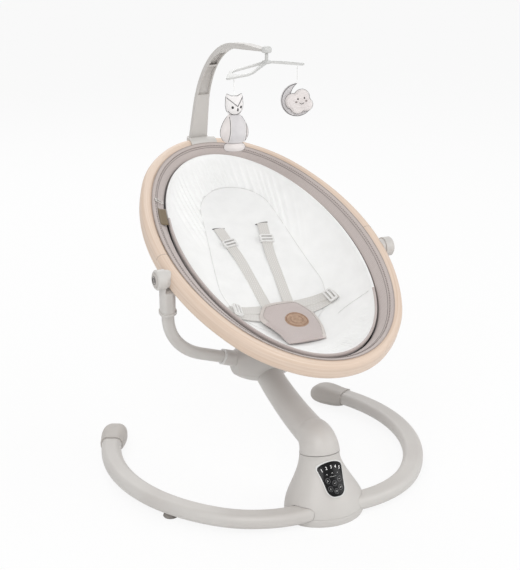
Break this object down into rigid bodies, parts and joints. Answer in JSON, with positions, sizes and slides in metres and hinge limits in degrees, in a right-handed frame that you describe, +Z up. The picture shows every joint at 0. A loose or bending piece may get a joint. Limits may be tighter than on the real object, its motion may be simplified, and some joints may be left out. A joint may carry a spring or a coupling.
{
  "type": "baby_swing",
  "caption": "Baby swing on a round-legged base: an oval wooden ring holds a padded bowl seat with a harness, under an arched toy bar",
  "frame": {"origin": "on the floor, under the middle of the base, where the swing axis meets it", "axes": "+Z up, +X to the seated child's left, +Y towards the seat's head end"},
  "size_m": [0.6142, 0.6397, 0.7935],
  "materials": {
    "shell": "satin",
    "shoe": "satin",
    "rim_white": "gloss",
    "panel_black": "gloss",
    "inner_dark": "matte",
    "board_green": "satin",
    "copper": "satin",
    "steel": "satin",
    "rubber": "matte",
    "beech": "satin",
    "sling_fabric": "matte",
    "liner_fabric": "matte",
    "webbing": "matte",
    "pad_fabric": "matte",
    "buckle_plastic": "satin",
    "toy_cream": "matte",
    "toy_grey": "matte",
    "toy_white": "matte"
  },
  "bodies": {
    "base": {"base_housing": "shell", "bottom_tray": "shell", "panel_lens": "panel_black", "panel_bezel": "rim_white", "circuit_board": "board_green", "speaker": "inner_dark", "power_inlet": "inner_dark", "drive_coil": "copper", "lower_bearing": "steel", "upper_bearing": "steel", "leg_left": "shell", "leg_right": "shell", "leg_shoe_left": "shoe", "leg_shoe_right": "shoe", "leg_foot_left": "rubber", "leg_foot_right": "rubber"},
    "arm": {"swing_arm": "shell", "hub_cover": "shell", "swing_shaft": "steel", "magnet_lever": "inner_dark", "drive_magnet": "steel", "yoke_left": "shell", "yoke_right": "shell", "socket_ring_left": "rim_white", "socket_ring_right": "rim_white", "recline_housing_left": "shell", "recline_housing_right": "shell"},
    "button_left": {"recline_button_left": "shoe"},
    "button_right": {"recline_button_right": "shoe"},
    "seat": {"ring_head_half": "beech", "ring_foot_half": "beech", "seat_pivot_left": "shell", "seat_pivot_right": "shell", "toy_bar_bracket": "shell", "toy_bar": "shell", "toy_bar_end": "rim_white", "seat_sling": "sling_fabric", "seat_liner": "liner_fabric", "inner_cushion": "liner_fabric", "shoulder_strap_left": "webbing", "shoulder_strap_right": "webbing", "shoulder_adjuster_left": "buckle_plastic", "shoulder_adjuster_right": "buckle_plastic", "waist_strap_left": "webbing", "waist_strap_right": "webbing", "waist_adjuster_left": "buckle_plastic", "waist_adjuster_right": "buckle_plastic", "crotch_pad": "pad_fabric", "harness_buckle": "buckle_plastic"},
    "hanger": {"toy_hanger": "rim_white"},
    "owl": {"owl_string": "toy_white", "owl_head": "toy_grey", "owl_body": "toy_cream", "owl_roll": "toy_cream"},
    "cloud": {"cloud_string": "toy_white", "cloud": "toy_white", "crescent_moon": "toy_grey"}
  },
  "joints": [
    {"name": "swing", "type": "hinge", "parent": "base", "child": "arm", "pos_m": [0, 0, 0], "axis": [0, 0.1736, 0.9848], "range_deg": [-15, 15]},
    {"name": "seat_recline", "type": "hinge", "parent": "arm", "child": "seat", "pos_m": [0, 0.18702, 0.41201], "axis": [1, 0, 0], "range_deg": [-10, 12]},
    {"name": "recline_button_left", "type": "slide", "parent": "arm", "child": "button_left", "axis": [1, 0, 0], "range_m": [0, 0.003], "stiffness_N_per_m": 900},
    {"name": "recline_button_right", "type": "slide", "parent": "arm", "child": "button_right", "axis": [-1, 0, 0], "range_m": [0, 0.003], "stiffness_N_per_m": 900},
    {"name": "hanger_swivel", "type": "hinge", "parent": "seat", "child": "hanger", "pos_m": [0, 0.233, 0.766], "axis": [0, 0, 1], "continuous": true},
    {"name": "owl_swing", "type": "hinge", "parent": "hanger", "child": "owl", "pos_m": [-0.07991, 0.19659, 0.75056], "axis": [-0.2419, -0.9703, 0], "range_deg": [-30, 30]},
    {"name": "cloud_swing", "type": "hinge", "parent": "hanger", "child": "cloud", "pos_m": [0.07991, 0.26942, 0.75056], "axis": [-0.2419, -0.9703, 0], "range_deg": [-30, 30]}
  ]
}
